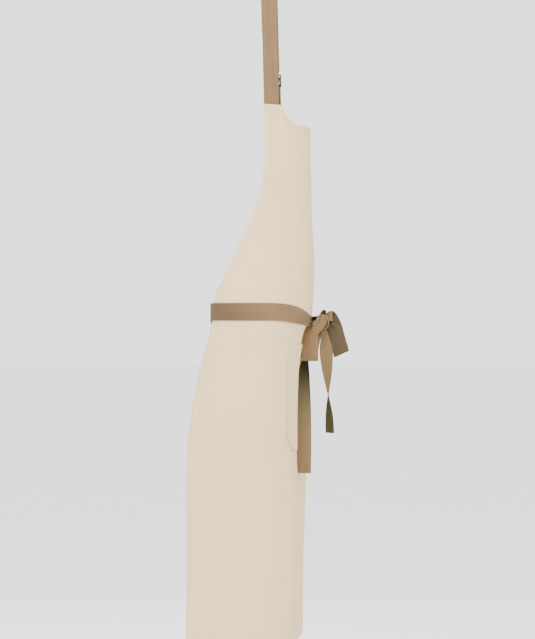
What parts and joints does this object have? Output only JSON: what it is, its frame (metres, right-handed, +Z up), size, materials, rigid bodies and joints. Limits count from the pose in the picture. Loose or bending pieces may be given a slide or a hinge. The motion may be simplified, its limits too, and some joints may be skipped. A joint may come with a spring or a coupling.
{
  "type": "apron on a hook",
  "caption": "Full-length bib apron in natural canvas with tape neck strap and tied waist ties, hanging on a wall hook.",
  "frame": {"origin": "wall face of the hook's plate, at the height of the arm's level stretch", "axes": "+Z up, +X out from the wall towards the apron's front, +Y towards the apron's left side as worn"},
  "size_m": [0.2686, 0.4216, 1.205],
  "materials": {
    "black_iron": "black satin paint",
    "steel": "plain brushed steel",
    "canvas": "natural undyed canvas, matt",
    "facing": "cotton facing, matt",
    "tape": "tan twill tape, matt"
  },
  "bodies": {
    "hook": {"wall_plate": "black_iron", "hook_arm": "black_iron", "hook_tip": "black_iron", "screw_upper": "steel", "screw_lower": "steel"},
    "neck_loop": {"neck_strap_bend": "tape"},
    "apron": {"apron_panel": "canvas", "pocket": "canvas", "neckline_facing": "facing", "armhole_facing_near": "facing", "armhole_facing_far": "facing", "neck_strap_near": "tape", "neck_strap_far": "tape", "strap_tab": "tape", "strap_slide": "steel", "waist_tie_near": "tape", "waist_tie_far": "tape", "bow_knot": "tape"},
    "strap_end": {"neck_strap_end": "tape"},
    "loop_near": {"bow_loop_near": "tape"},
    "loop_far": {"bow_loop_far": "tape"},
    "long_tail": {"tail_long": "tape"},
    "short_tail": {"tail_short": "tape"}
  },
  "joints": [
    {"name": "lift_off", "type": "slide", "parent": "hook", "child": "neck_loop", "axis": [0, 0, 1], "range_m": [0, 0.06]},
    {"name": "sideways_swing", "type": "hinge", "parent": "neck_loop", "child": "apron", "pos_m": [0.133, 0, 0], "axis": [1, 0, 0], "range_deg": [-12, 12]},
    {"name": "strap_end_swing", "type": "hinge", "parent": "apron", "child": "strap_end", "pos_m": [0.14006, 0.07549, -0.21906], "axis": [-0.8532, 0.5216, 0], "range_deg": [0, 25]},
    {"name": "near_loop_lift", "type": "hinge", "parent": "apron", "child": "loop_near", "pos_m": [0.222, -0.0152, -0.6185], "axis": [-0.7071, -0.7071, 0], "range_deg": [0, 50]},
    {"name": "far_loop_lift", "type": "hinge", "parent": "apron", "child": "loop_far", "pos_m": [0.229, 0.0095, -0.6125], "axis": [0.7071, -0.7071, 0], "range_deg": [0, 50]},
    {"name": "long_tail_swing", "type": "hinge", "parent": "apron", "child": "long_tail", "pos_m": [0.219, -0.0055, -0.6388], "axis": [0, -1, 0], "range_deg": [0, 12]},
    {"name": "short_tail_swing", "type": "hinge", "parent": "apron", "child": "short_tail", "pos_m": [0.232, -0.004, -0.6388], "axis": [0, -1, 0], "range_deg": [0, 40]}
  ]
}
